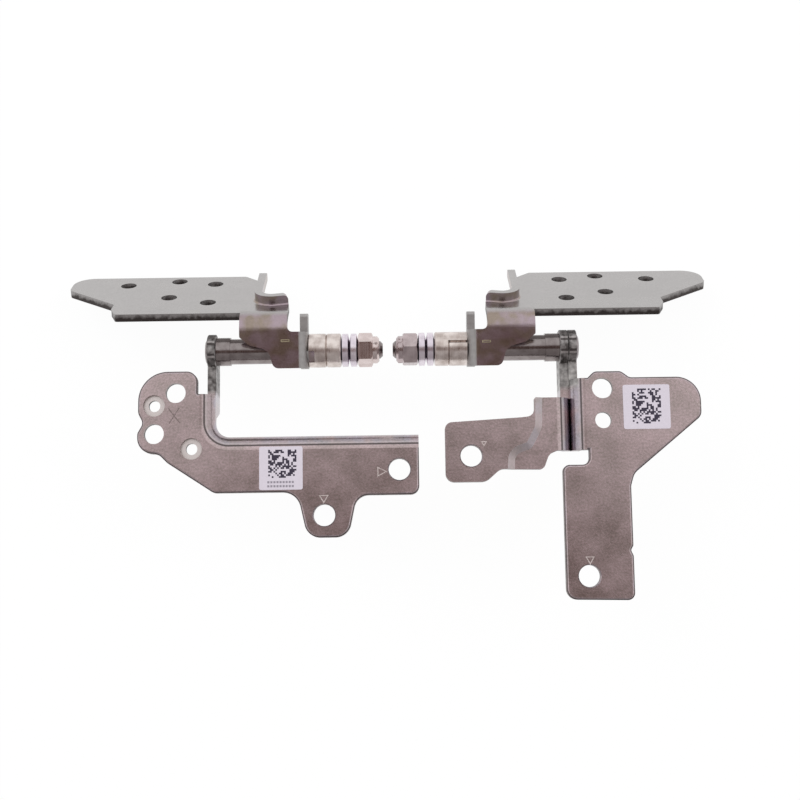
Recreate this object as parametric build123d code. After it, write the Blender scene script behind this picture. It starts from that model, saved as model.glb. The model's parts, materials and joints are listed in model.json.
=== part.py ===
"""A left and a right friction hinge for a laptop lid, laid with their nuts towards each other.

All shapes are drawn about the pin axis: X along the pins, +Z out of the base plates' screw-head side,
and -Y from the pins into the laptop's base. u is the distance outwards from the middle of the pair.
The finished pieces are moved so that the origin is midway between the left bracket's two screw holes.
"""
import os
from math import cos, degrees, radians, sin, sqrt

from build123d import *

# Base sheet, in millimetres
BASE_SHEET = 1.2
BASE_BEND = 0.8            # inner bend radius
PLATE_TOP = 3.0            # screw-head face above the pin axis
RIM_DROP = 2.6             # depth of the stiffening rim below that face
EDGE_BREAK = 0.1           # depth of the stamped sheet's rolled edge
EDGE_ROLL = 0.3            # and its width on the plates
EAR_RADIUS = 2.45
EAR_FOOT = -3.2            # lowest edge of the ears
EAR_FOOT_END = -8.4        # where the ear's deep wall ends
LEFT_NOTCH = -6.4
RIGHT_NOTCH = -4.9
SIDE_NOTCH = -7.5
CORNER_RADIUS = 2.0        # plan radius of the left rim's outer face
LEFT_RIM_FACE = -12.3
RIGHT_WALL_END = -14.9
JOGGLE = 0.5               # step between the side bracket's pad and its wall strip
JOGGLE_RUN = 1.0           # width of the slope between them
HOLE_BREAK = 0.12          # broken edge of the large screw holes

# Holes in the left bar: X from the pair's middle, and how far back from the rim's bend line
SCREW_HOLE = 3.0
LEFT_END_HOLE = (1.43, 2.96)
LEFT_TAB_HOLE = (-8.98, 9.15)

# Holes in the outer plates: outwards from the plate's bend line, and Y
LOBE_HOLE = 2.8
LOBE_HOLES = ((3.35, -6.22), (6.33, -11.91))
PEG_HOLE = 1.6
PEG_SEAT = 3.0
PEG_SEAT_DEPTH = 0.45
PEG_HOLES = ((6.34, -7.99), (1.14, -14.06))
RIGHT_TOP_HOLE = (2.4, -6.34)
RIGHT_TOP_DIAMETER = 2.9
RIGHT_MID_HOLE = (2.4, -10.83)
RIGHT_MID_DIAMETER = 2.3
RIGHT_FOOT_HOLE = (-0.2, -32.25)

# Hole in the side bracket's pad: X from the pair's middle, and Y
RIGHT_SIDE_HOLE = (11.39, -15.55)

# Outlines of the base plates, by the metal left around their holes, bends and labels
BAR_END = 2.7              # beyond the left bar's end hole
BAR_WIDTH = 5.9            # from the rim's bend line to the bar's edge
BAR_END_WIDTH = 6.45       # the same at the bar's end
TAB_REACH = 3.05           # behind the tab's hole
LOBE_TOP = 3.02            # beyond the lobe's upper hole, towards the pin
LOBE_ROUND = 4.1
LOBE_REACH = (5.2, 2.3)    # outwards from the lobe's upper and lower hole
LUG_TOP = 2.34             # beyond the right lug's hole, towards the pin
WING_TOP = 4.17            # from the right label's middle, towards the pin
WING_REACH = 7.6           # and outwards
WING_ROUND = 3.4
LEG_SIDES = (3.2, 6.1)     # on both sides of the foot hole
LEG_FOOT = 3.25            # below the foot hole
SLOT_WIDTH = 2.1           # between the right bend and the leg
PAD_SIDE = 3.59            # inwards from the side bracket's hole
PAD_TOP = 4.65             # beyond that hole, towards the pin
PAD_FOOT = 3.6             # and away from it
STRIP_WIDTH = 3.1          # from the side bracket's bend line inwards

# Labels, placed as the holes beside them
LABEL_THICKNESS = 0.08
LEFT_LABEL = (-14.92, 2.6)
LEFT_LABEL_SIZE = (6.0, 6.0)
RIGHT_LABEL = (8.43, -9.07)
RIGHT_LABEL_SIZE = (6.5, 6.2)

# Shaft, by its distance outwards from the middle of the pair
WALL_INNER = 24.2          # face of the first base ear
COLLAR_LENGTH = 2.0
JOURNAL_DIAMETER = 3.0
SHAFT_STEP = 0.3           # height of the shaft's shoulder over the journal
COLLAR_STEP = 0.2          # height of the collar over the shaft
JOURNAL_FLATS = 2.3
RIVET_NECK = 2.9
RIVET_HEAD = 3.7
RIVET_HEIGHT = 0.3
THREAD_DIAMETER = 2.5
THREAD_CHAMFER = 0.35
TIP = 0.7

# Friction stack
EAR_FACE = 11.2            # face of the lid arm's ear that the stack bears on
RING_WALL = 0.9            # wall of the rings around the journal
RING_EDGE = 0.15
CAM_LENGTH = 2.55
FOLLOWER_LENGTH = 2.05
WASHER_THICKNESS = 0.5
SPRING_DIAMETER = 4.7
SPRING_SHEET = 0.4
SPRING_DISH = 0.2
SPRING_PAIRS = 2
NUT_FLATS = 4.2
NUT_HEX = 2.1
NUT_COLLAR = 0.9
NUT_COLLAR_DIAMETER = 3.85
NUT_TURN = {"left": 11.0, "right": 30.0}
CRIMP_RADIUS = 0.6
CRIMP_DEPTH = 0.22
TAB_HEIGHT = 0.9           # drive tab of the lid arm's ear, into the ring that turns with the arm
TAB_EDGE = 0.1
LEFT_TAB = (-53.0, 42.0)   # start and extent, from +Z towards +Y
RIGHT_TAB_EXTENT = 24.0
STOP_FACE = 11.0           # upper end of the stop washer's raised sector, from +Z towards +Y
STOP_SECTOR = 110.0
STOP_PLAY = 1.5
STOP_STEP = 0.55           # height of the tongue over the washer's low part
OPEN_TRAVEL = 8.0
CLOSE_TRAVEL = 122.0

# Clearances
RUN_CLEAR = 0.03
KEY_CLEAR = 0.02
FACE_CLEAR = 0.02

# Lid arm
ARM_SHEET = 1.1
ARM_BEND = 0.3
NECK_BEND = 2.1
NECK_ANGLE = 66.0
ARM_TURN = 8.0             # turn of the arm from its roof lying parallel to the base plates
ROOF_CLEAR = 0.15          # room between the shaft and the roof
ROOF_FOOT = -2.5
ROOF_STEP = 1.9
ROOF_STEP_AT = 4.75        # where the roof narrows, outwards from the ear's face
ROOF_END = 2.79
NECK_AT = 2.8              # inner side of the neck, outwards from the ear's face
NECK_WIDTH = 6.7
RELIEF = 2.6               # where the slot between ear and neck starts
RELIEF_ROUND = 0.75
LIP_HEIGHT = 1.4
LIP_LINE = 0.9             # bend line of the lip at its corner, up from the neck
LIP_RISE = 1.3             # how much higher that line runs at the neck's inner side
LIP_AT = 5.3               # the lip's bend line beside the plate, outwards from the neck's inner side
LIP_CORNER = 2.8
LIP_STOP = 2.0             # how far the lip ends below the plate's top edge
LIP_ROUND = 0.7            # rounded ends of the lip's free edge
LID_TOP = 14.92
LID_FOOT = -0.78           # lower edge of the plate beside the neck
LID_TIP = 46.8
LID_TAPER = 7.7            # length of the plate's narrowing end
LID_STEP_TOP = 3.3         # where that end runs into the plate's step
LID_HOLE = 2.3
LID_END_HOLE = (8.39, 3.5)                     # in from the tip, and down from the top edge
LID_TOP_HOLES = ((11.74, 1.95), (6.24, 3.25))  # outwards from the lip's bend line, down from the top
LID_LOW_HOLES = ((12.33, 5.97), (6.42, 3.69))  # outwards from the lip's bend line, up from the neck
EAR_PRONG = 5.2

# Places worked out from the sizes above
BASE_OUTER_BEND = BASE_BEND + BASE_SHEET
EAR_FLAT = PLATE_TOP - BASE_OUTER_BEND
WALL_OUTER = WALL_INNER + BASE_SHEET
LEFT_LINE = WALL_INNER + BASE_OUTER_BEND      # bend lines of the base plates, outwards from the middle
RIGHT_LINE = WALL_OUTER + BASE_OUTER_BEND
SIDE_LINE = WALL_OUTER - BASE_OUTER_BEND
RIM_LINE = LEFT_RIM_FACE - BASE_OUTER_BEND    # bend line of the left bar's rim
SHAFT_DIAMETER = JOURNAL_DIAMETER + 2 * SHAFT_STEP
COLLAR_DIAMETER = SHAFT_DIAMETER + 2 * COLLAR_STEP
RING_DIAMETER = JOURNAL_DIAMETER + 2 * RING_WALL
ROOF_TOP = SHAFT_DIAMETER / 2 + ROOF_CLEAR + ARM_SHEET
NECK_INNER = EAR_FACE + NECK_AT
NECK_OUTER = NECK_INNER + NECK_WIDTH
LIP_SIDE = NECK_INNER + LIP_AT
LIP_TOP = LID_TOP - LIP_STOP
LID_STEP = LID_TIP - LID_TAPER
ARM_OUTER_BEND = ARM_BEND + ARM_SHEET
NECK_OUTER_BEND = NECK_BEND + ARM_SHEET
EAR_BACK = EAR_FACE + ARM_SHEET
SHOULDER = EAR_BACK + WASHER_THICKNESS
CAM_END = EAR_FACE - CAM_LENGTH
SPRING_SEAT = CAM_END - FOLLOWER_LENGTH
SPRING_PITCH = 2 * (SPRING_SHEET + SPRING_DISH)
NUT_SEAT = SPRING_SEAT - SPRING_PAIRS * SPRING_PITCH
NUT_COLLAR_SEAT = NUT_SEAT - NUT_HEX
LEFT_TAB_SPAN = (*LEFT_TAB, JOURNAL_DIAMETER / 2 + TAB_EDGE, RING_DIAMETER / 2 - TAB_EDGE)
TONGUE_SECTOR = 360 - STOP_SECTOR - OPEN_TRAVEL - CLOSE_TRAVEL - 2 * STOP_PLAY
TONGUE_START = STOP_FACE + OPEN_TRAVEL + STOP_PLAY
TONGUE_INNER = RING_DIAMETER / 2 - STOP_STEP
RIGHT_TAB_SPAN = (
    TONGUE_START + (TONGUE_SECTOR - RIGHT_TAB_EXTENT) / 2,
    RIGHT_TAB_EXTENT,
    TONGUE_INNER + TAB_EDGE,
    RING_DIAMETER / 2 - TAB_EDGE,
)


def on_bar(place):
    """Place on the left bar from its distance back from the rim's bend line."""
    return (place[0], RIM_LINE - place[1])


def on_lobe(place):
    """Place on the left bracket's lobe from its distance outwards from the bend line."""
    return (-LEFT_LINE - place[0], place[1])


def on_right(place):
    """Place on the right bracket from its distance outwards from the bend line."""
    return (RIGHT_LINE + place[0], place[1])


def rounded(points):
    """Face inside a closed outline of (x, y, corner radius) points."""
    places = [(x, y) for x, y, _ in points]
    radii = [radius for _, _, radius in points]
    return make_face(FilletPolyline(*places, radius=radii, close=True).edges())


def drill(diameter, place, top, depth):
    """Cutter along Z for a hole from the given top face downwards."""
    return Pos(place[0], place[1], top - depth / 2) * Cylinder(diameter / 2, depth + 0.02)


def bent_rim(path, outward, sheet, bend, drop):
    """Sheet bent away from a plate along a bend line that lies on the bend's convex face."""
    outer = bend + sheet
    section = Plane(origin=path @ 0, x_dir=outward, z_dir=path % 0)
    half = sqrt(0.5)
    profile = make_face([
        ThreePointArc((0, 0), (outer * half, outer * (half - 1)), (outer, -outer)),
        Line((outer, -outer), (outer, -drop)),
        Line((outer, -drop), (bend, -drop)),
        Line((bend, -drop), (bend, -outer)),
        ThreePointArc((bend, -outer), (bend * half, bend * half - outer), (0, -sheet)),
        Line((0, -sheet), (0, 0)),
    ])
    return sweep(section * profile, path=path)


def hole_break(place):
    """Cutter for the broken top edge of a large screw hole."""
    radius, twice = SCREW_HOLE / 2, 2 * HOLE_BREAK
    return Pos(*place, PLATE_TOP) * Cone(radius, radius + twice, twice)


def plate(outline, holes, bend_lines):
    """Base plate with drilled holes and a broken top edge, kept sharp where it runs into a bend."""
    body = extrude(Pos(0, 0, PLATE_TOP) * rounded(outline), amount=-BASE_SHEET)
    top = body.faces().sort_by(Axis.Z)[-1]
    rolled = [edge for edge in top.edges() if not bend_lines(edge.center())]
    body = chamfer(rolled, EDGE_ROLL, EDGE_BREAK, reference=top)
    for diameter, place in holes:
        body -= drill(diameter, place, PLATE_TOP, BASE_SHEET)
        if diameter == SCREW_HOLE:
            body -= hole_break(place)
    return body


def base_ear(notch, wall_end, start, flat=EAR_FLAT):
    """Upright ear and deep wall of a base bracket, from the given X to one sheet further out."""
    foot = PLATE_TOP - RIM_DROP
    side = rounded([
        (EAR_RADIUS / 2, flat, 0),
        (EAR_RADIUS / 2, -EAR_RADIUS, 0),
        (-EAR_RADIUS, EAR_FOOT, 1.0),
        (EAR_FOOT_END, EAR_FOOT, 0.8),
        (EAR_FOOT_END - 1.2, foot, 0.6),
        (wall_end, foot, 0),
        (wall_end, flat, 0),
    ])
    side += Circle(EAR_RADIUS)
    side -= Circle(RIVET_NECK / 2 + KEY_CLEAR)
    ear = extrude(Plane.YZ.offset(start) * side, amount=BASE_SHEET)
    middle = start + BASE_SHEET / 2
    rim = [edge for edge in ear.edges() if edge.center().Z > flat - 0.01 and edge.center().Y > notch]
    return chamfer([edge for edge in rim if abs(edge.center().X - middle) > 0.5], EDGE_BREAK)


def left_base_bracket():
    end_hole, tab_hole = on_bar(LEFT_END_HOLE), on_bar(LEFT_TAB_HOLE)
    end_x = end_hole[0] + BAR_END
    tab_x, tab_y = tab_hole
    corner = CORNER_RADIUS + BASE_OUTER_BEND
    upper, lower = (on_lobe(place) for place in LOBE_HOLES)
    upper_x, lower_x = upper[0] - LOBE_REACH[0], lower[0] - LOBE_REACH[1]
    lobe_top = upper[1] + LOBE_TOP
    outline = [
        (-LEFT_LINE, LEFT_NOTCH, 0),
        (-LEFT_LINE - 0.35, LEFT_NOTCH, 0.2),
        (-LEFT_LINE - 0.35, lobe_top, 1.5),
        (upper_x, lobe_top, LOBE_ROUND),
        (upper_x, upper[1] - 2.78, 1.4),
        (lower_x + 0.8, lower[1] + 1.51, 1.0),
        (lower_x, lower[1] + 0.11, 1.0),
        (lower_x, lower[1] - 2.59, 2.2),
        (lower[0] + 0.63, lower[1] - 2.79, 1.6),
        (lower[0] + 1.93, lower[1] - 4.09, 1.5),
        (-LEFT_LINE + 2.0, RIM_LINE - BAR_WIDTH, 1.2),
        (tab_x - 3.72, RIM_LINE - BAR_WIDTH, 2.6),
        (tab_x - 2.32, tab_y - TAB_REACH, 2.2),
        (tab_x + 3.28, tab_y - TAB_REACH, 2.2),
        (tab_x + 4.48, RIM_LINE - BAR_END_WIDTH, 2.0),
        (end_x, RIM_LINE - BAR_END_WIDTH, 1.2),
        (end_x, RIM_LINE, 0),
        (-LEFT_LINE, RIM_LINE, corner),
    ]
    pegs = [on_lobe(place) for place in PEG_HOLES]
    holes = [(SCREW_HOLE, end_hole), (SCREW_HOLE, tab_hole), (LOBE_HOLE, upper), (LOBE_HOLE, lower)]
    holes += [(PEG_HOLE, place) for place in pegs]

    def on_bend(point):
        beside = -LEFT_LINE - 0.9 < point.X < end_x - 0.1
        return beside and RIM_LINE - 0.9 < point.Y < LEFT_NOTCH - 0.01

    body = plate(outline, holes, on_bend)
    for place in pegs:
        body -= drill(PEG_SEAT, place, PLATE_TOP, PEG_SEAT_DEPTH)
    path = FilletPolyline(
        (-LEFT_LINE, LEFT_NOTCH, PLATE_TOP),
        (-LEFT_LINE, RIM_LINE, PLATE_TOP),
        (end_x, RIM_LINE, PLATE_TOP),
        radius=corner,
    )
    body += bent_rim(path, (1, 0, 0), BASE_SHEET, BASE_BEND, RIM_DROP)
    return body + base_ear(LEFT_NOTCH, RIM_LINE + corner, -WALL_OUTER)


def right_base_bracket():
    top_hole, mid_hole, foot_hole = (
        on_right(place) for place in (RIGHT_TOP_HOLE, RIGHT_MID_HOLE, RIGHT_FOOT_HOLE)
    )
    leg_left = foot_hole[0] - LEG_SIDES[0]
    leg_right = foot_hole[0] + LEG_SIDES[1]
    slot, slot_end = RIGHT_WALL_END - SLOT_WIDTH, RIGHT_LINE + EDGE_ROLL
    label_x, label_y = on_right(RIGHT_LABEL)
    wing_x, wing_top = label_x + WING_REACH, label_y + WING_TOP
    lug_top = top_hole[1] + LUG_TOP
    leg_foot = foot_hole[1] - LEG_FOOT
    outline = [
        (RIGHT_LINE, RIGHT_NOTCH, 0),
        (RIGHT_LINE + 0.35, RIGHT_NOTCH, 0.2),
        (RIGHT_LINE + 1.3, lug_top, 1.0),
        (top_hole[0] + 2.61, lug_top, 1.0),
        (top_hole[0] + 3.81, wing_top, 1.0),
        (wing_x, wing_top, WING_ROUND),
        (wing_x, label_y - 1.33, 1.4),
        (leg_right + 0.5, RIGHT_WALL_END - 3.4, 2.0),
        (leg_right, RIGHT_WALL_END - 5.1, 1.5),
        (leg_right, foot_hole[1] + 4.05, 0.6),
        (leg_right - 0.35, foot_hole[1] + 3.45, 0.4),
        (leg_right, foot_hole[1] + 2.65, 0.6),
        (leg_right, leg_foot - 0.1, 1.0),
        (leg_left, leg_foot + 0.1, 1.5),
        (leg_left, slot, 0.9),
        (slot_end, slot, 1.0),
        (slot_end, RIGHT_WALL_END, 0),
        (RIGHT_LINE, RIGHT_WALL_END, 0),
    ]
    holes = [(RIGHT_TOP_DIAMETER, top_hole), (RIGHT_MID_DIAMETER, mid_hole), (SCREW_HOLE, foot_hole)]
    body = plate(outline, holes, lambda point: abs(point.X - RIGHT_LINE) < 0.01)
    path = Line((RIGHT_LINE, RIGHT_WALL_END, PLATE_TOP), (RIGHT_LINE, RIGHT_NOTCH, PLATE_TOP))
    body += bent_rim(path, (-1, 0, 0), BASE_SHEET, BASE_BEND, RIM_DROP)
    return body + base_ear(RIGHT_NOTCH, RIGHT_WALL_END, WALL_OUTER)


def sloped(body, level, towards):
    """The body with its step's edge at that level cut back to a slope, down for -1 or up for 1."""
    face = next(f for f in body.faces() if abs(f.center().Z - level) < 0.001)
    step = [f for f in body.faces() if abs(f.center().Z - level - towards * JOGGLE / 2) < 0.01]
    crest = [e for f in step for e in f.edges() if abs(e.center().Z - level) < 0.001]
    return chamfer(crest, JOGGLE_RUN, JOGGLE - 0.02, reference=face)


def right_side_bracket():
    hole_x, hole_y = RIGHT_SIDE_HOLE
    pad_x, strip_x = hole_x - PAD_SIDE, SIDE_LINE - STRIP_WIDTH
    outline = [
        (pad_x, hole_y + PAD_TOP, 1.0),
        (SIDE_LINE - 5.0, SIDE_NOTCH - 2.8, 3.0),
        (strip_x, SIDE_NOTCH - 2.6, 1.2),
        (strip_x, SIDE_NOTCH, 0.3),
        (SIDE_LINE, SIDE_NOTCH, 0),
        (SIDE_LINE, RIGHT_WALL_END, 0),
        (SIDE_LINE - 1.2, RIGHT_WALL_END - 0.5, 1.4),
        (SIDE_LINE - 2.0, RIGHT_WALL_END - 2.6, 0.8),
        (hole_x + 4.01, RIGHT_WALL_END - 2.5, 1.4),
        (hole_x + 2.01, hole_y - PAD_FOOT, 1.8),
        (pad_x, hole_y - PAD_FOOT, 1.2),
    ]
    first = (SIDE_LINE - 6.2, RIGHT_WALL_END - 5.1)
    last = (SIDE_LINE - 1.9, SIDE_NOTCH + 2.5)
    beyond = SIDE_LINE + 6.6
    step = FilletPolyline(
        first,
        (SIDE_LINE - 5.9, RIGHT_WALL_END - 0.5),
        (SIDE_LINE - 3.6, RIGHT_WALL_END + 0.3),
        (SIDE_LINE - 2.1, RIGHT_WALL_END + 3.1),
        last,
        radius=[1.3, 1.2, 2.5],
    )
    around_strip = Polyline(last, (beyond, last[1]), (beyond, first[1]), first)
    strip_side = make_face(step.edges() + around_strip.edges())
    whole = rounded(outline)
    strip_top = PLATE_TOP - JOGGLE
    strip = extrude(Pos(0, 0, strip_top) * (whole & strip_side), amount=-BASE_SHEET)
    pad = extrude(Pos(0, 0, PLATE_TOP) * (whole - strip_side), amount=-BASE_SHEET)
    under = offset(strip_side, JOGGLE_RUN, kind=Kind.INTERSECTION)
    web = extrude(Pos(0, 0, PLATE_TOP - BASE_SHEET) * ((whole & under) - strip_side), amount=-JOGGLE)
    body = sloped(sloped(pad + strip + web, PLATE_TOP, -1), strip_top - BASE_SHEET, 1)
    body -= drill(SCREW_HOLE, RIGHT_SIDE_HOLE, PLATE_TOP, BASE_SHEET)
    body -= hole_break(RIGHT_SIDE_HOLE)
    path = Line((SIDE_LINE, SIDE_NOTCH, strip_top), (SIDE_LINE, RIGHT_WALL_END, strip_top))
    body += bent_rim(path, (1, 0, 0), BASE_SHEET, BASE_BEND, RIM_DROP - JOGGLE)
    return body + base_ear(SIDE_NOTCH, RIGHT_WALL_END, WALL_INNER, strip_top - BASE_OUTER_BEND)


def label(place, size):
    """Thin square of paper stuck on a base plate."""
    sheet = rounded([
        (place[0] + sx * size[0] / 2, place[1] + sy * size[1] / 2, 0.3)
        for sx, sy in ((-1, -1), (1, -1), (1, 1), (-1, 1))
    ])
    return extrude(Pos(0, 0, PLATE_TOP) * sheet, amount=LABEL_THICKNESS)


def turned(points):
    """Solid of revolution about the pin axis from a closed outline of (u, radius) points."""
    return revolve(make_face(Polyline(*points, close=True).edges()), axis=Axis.X)


def flatted(start, end, diameter, flats):
    """Round bar along X with two flats, from start to end."""
    section = Circle(diameter / 2) & Rectangle(diameter, flats)
    return extrude(Plane.YZ.offset(start) * section, amount=end - start)


def shaft(ears):
    """Turned shaft of the right hinge, riveted through the given number of base ears."""
    back = WALL_INNER + ears * BASE_SHEET
    collar = WALL_INNER - COLLAR_LENGTH
    body = turned([
        (SHOULDER, 0),
        (SHOULDER, SHAFT_DIAMETER / 2),
        (collar, SHAFT_DIAMETER / 2),
        (collar, COLLAR_DIAMETER / 2),
        (WALL_INNER, COLLAR_DIAMETER / 2),
        (WALL_INNER, RIVET_NECK / 2),
        (back, RIVET_NECK / 2),
        (back, RIVET_HEAD / 2),
        (back + RIVET_HEIGHT / 3, RIVET_HEAD / 2),
        (back + RIVET_HEIGHT, RIVET_HEAD / 2 - RIVET_HEIGHT),
        (back + RIVET_HEIGHT, 0),
    ])
    body += flatted(SPRING_SEAT, SHOULDER, JOURNAL_DIAMETER, JOURNAL_FLATS)
    thread = turned([
        (TIP, 0),
        (TIP, THREAD_DIAMETER / 2 - THREAD_CHAMFER),
        (TIP + THREAD_CHAMFER, THREAD_DIAMETER / 2),
        (SPRING_SEAT, THREAD_DIAMETER / 2),
        (SPRING_SEAT, 0),
    ])
    return body + thread


def ring(start, end, bore, diameter=RING_DIAMETER):
    """Ring about the pin axis with broken outer edges."""
    radius = diameter / 2
    return turned([
        (start, bore / 2),
        (start, radius - RING_EDGE),
        (start + RING_EDGE, radius),
        (end - RING_EDGE, radius),
        (end, radius - RING_EDGE),
        (end, bore / 2),
    ])


def keyed(body, start, end):
    """The body with a bore that fits the shaft's two flats."""
    return body - flatted(start, end, JOURNAL_DIAMETER + 2 * KEY_CLEAR, JOURNAL_FLATS + 2 * KEY_CLEAR)


def around(angle, radius):
    """Place in the Y-Z plane at an angle from +Z towards +Y."""
    return (radius * sin(radians(angle)), radius * cos(radians(angle)))


def friction_washer():
    return keyed(ring(EAR_BACK + FACE_CLEAR, SHOULDER, 1.0, SHAFT_DIAMETER), EAR_BACK, SHOULDER)


def sector(start, extent, inner, outer, first, last):
    """Curved block about the pin axis, from an angle measured from +Z towards +Y."""
    block = revolve(
        Plane.XZ * Pos((first + last) / 2, (inner + outer) / 2) * Rectangle(last - first, outer - inner),
        axis=Axis.X,
        revolution_arc=extent,
    )
    return Rot(-start - extent, 0, 0) * block


def drive_tab(span, clear):
    """Tab on the lid arm's ear, or with clearance the pocket that it fits."""
    start, extent, inner, outer = span
    play = degrees(clear / outer)
    first = EAR_FACE - TAB_HEIGHT - clear
    last = EAR_FACE + ARM_SHEET / 2
    return sector(start - play, extent + 2 * play, max(inner - clear, 0), outer + clear, first, last)


def cam_ring():
    """Left hinge's ring beside the arm's ear, with an open notch for the ear's drive tab."""
    body = ring(CAM_END + FACE_CLEAR, EAR_FACE, JOURNAL_DIAMETER + 2 * RUN_CLEAR)
    start, extent, _, outer = LEFT_TAB_SPAN
    return body - drive_tab((start, extent, 0, outer + 2 * TAB_EDGE), KEY_CLEAR)


def follower_ring():
    return keyed(ring(SPRING_SEAT, CAM_END, 1.0), SPRING_SEAT, CAM_END)


def stop_washer():
    """Right hinge's fixed ring: full height over one sector, low under the tongue's travel."""
    start = CAM_END + FACE_CLEAR
    end = EAR_FACE - FACE_CLEAR
    low = ring(start, end, 1.0, 2 * (TONGUE_INNER - RUN_CLEAR))
    high = sector(STOP_FACE - STOP_SECTOR, STOP_SECTOR, TONGUE_INNER / 2, RING_DIAMETER / 2, start, end)
    return keyed(low + high, start, end)


def stop_collar():
    """Right hinge's ring that turns with the arm, with a tongue reaching over the stop washer."""
    body = ring(SPRING_SEAT + FACE_CLEAR, CAM_END, JOURNAL_DIAMETER + 2 * RUN_CLEAR)
    outer = RING_DIAMETER / 2
    body += sector(TONGUE_START, TONGUE_SECTOR, TONGUE_INNER, outer, CAM_END - RING_EDGE, EAR_FACE)
    return body - drive_tab(RIGHT_TAB_SPAN, KEY_CLEAR)


def disc_spring(index):
    """One dished spring: odd ones open towards the nut, even ones towards the rings."""
    pair, second = divmod(index, 2)
    seat = SPRING_SEAT - pair * SPRING_PITCH
    hub = seat - second * (SPRING_PITCH - SPRING_SHEET)
    rim = seat - SPRING_DISH - second * SPRING_SHEET
    bore = THREAD_DIAMETER / 2 + RUN_CLEAR
    radius = SPRING_DIAMETER / 2
    return turned([(hub, bore), (rim, radius), (rim - SPRING_SHEET, radius), (hub - SPRING_SHEET, bore)])


def lock_nut(turn):
    """Hexagon nut with chamfered corners and a round collar, crimped in three places."""
    hexagon = Rot(0, 0, turn) * RegularPolygon(NUT_FLATS / 2, 6, major_radius=False)
    prism = extrude(Plane.YZ.offset(NUT_COLLAR_SEAT) * hexagon, amount=NUT_HEX)
    corner = NUT_FLATS / sqrt(3)
    rise = (corner - NUT_FLATS / 2) * 0.6
    bevel = turned([
        (NUT_COLLAR_SEAT, 0),
        (NUT_COLLAR_SEAT, NUT_FLATS / 2),
        (NUT_COLLAR_SEAT + rise, corner),
        (NUT_SEAT - rise, corner),
        (NUT_SEAT, NUT_FLATS / 2),
        (NUT_SEAT, 0),
    ])
    body = prism & bevel
    edge = NUT_COLLAR / 3
    radius = NUT_COLLAR_DIAMETER / 2
    body += turned([
        (NUT_COLLAR_SEAT - NUT_COLLAR, 0),
        (NUT_COLLAR_SEAT - NUT_COLLAR, radius - edge),
        (NUT_COLLAR_SEAT - NUT_COLLAR + edge, radius),
        (NUT_COLLAR_SEAT, radius),
        (NUT_COLLAR_SEAT, 0),
    ])
    for angle in range(3):
        y, z = around(turn + 120 * angle, radius + CRIMP_RADIUS - CRIMP_DEPTH)
        body -= Pos(NUT_COLLAR_SEAT - NUT_COLLAR / 2, y, z) * Sphere(CRIMP_RADIUS)
    bore = THREAD_DIAMETER / 2 + KEY_CLEAR
    span = NUT_HEX + NUT_COLLAR
    return body - Pos(NUT_SEAT - span / 2, 0, 0) * Rot(0, 90, 0) * Cylinder(bore, span + 0.02)


def lid_plate():
    """Flat of the lid arm in the plane that the neck bends it to, with its lip."""
    run = ROOF_END + NECK_OUTER_BEND * sin(radians(NECK_ANGLE))
    depth = ROOF_TOP - NECK_OUTER_BEND * (1 - cos(radians(NECK_ANGLE)))
    slope = (0, sin(radians(NECK_ANGLE)), cos(radians(NECK_ANGLE)))
    face = Plane(origin=(0, run, depth), x_dir=(1, 0, 0), z_dir=slope)
    outline = rounded([
        (NECK_INNER, 0, 0),
        (NECK_INNER, LIP_LINE + LIP_RISE, 0),
        (LIP_SIDE, LIP_LINE, LIP_CORNER),
        (LIP_SIDE, LIP_TOP, 0),
        (LIP_SIDE + 2.0, LID_TOP, 0.6),
        (LID_TIP, LID_TOP, 2.9),
        (LID_TIP, LID_TOP - 5.2, 1.2),
        (LID_STEP, LID_STEP_TOP, 0.5),
        (LID_STEP + 0.1, LID_FOOT + 2.2, 0.6),
        (LID_STEP - 0.8, LID_FOOT, 0.4),
        (NECK_OUTER, LID_FOOT, 0),
        (NECK_OUTER, 0, 0),
    ])
    body = extrude(outline, amount=-ARM_SHEET)
    holes = [(LID_TIP - LID_END_HOLE[0], LID_TOP - LID_END_HOLE[1])]
    holes += [(LIP_SIDE + x, LID_TOP - y) for x, y in LID_TOP_HOLES]
    holes += [(LIP_SIDE + x, y) for x, y in LID_LOW_HOLES]
    for place in holes:
        body -= drill(LID_HOLE, place, 0, ARM_SHEET)
    path = FilletPolyline(
        (LIP_SIDE, LIP_TOP, -ARM_SHEET),
        (LIP_SIDE, LIP_LINE, -ARM_SHEET),
        (NECK_INNER, LIP_LINE + LIP_RISE, -ARM_SHEET),
        radius=LIP_CORNER,
    )
    lip = bent_rim(path, (-1, 0, 0), ARM_SHEET, ARM_BEND, ARM_SHEET + LIP_HEIGHT)
    corners = [e for e in lip.edges() if abs(e.center().Z - LIP_HEIGHT) < 0.01]
    ends = [e for at in (0, 1) for e in corners if abs((e.center() - path @ at).dot(path % at)) < 0.01]
    return face * (body + fillet(ends, LIP_ROUND))


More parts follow.
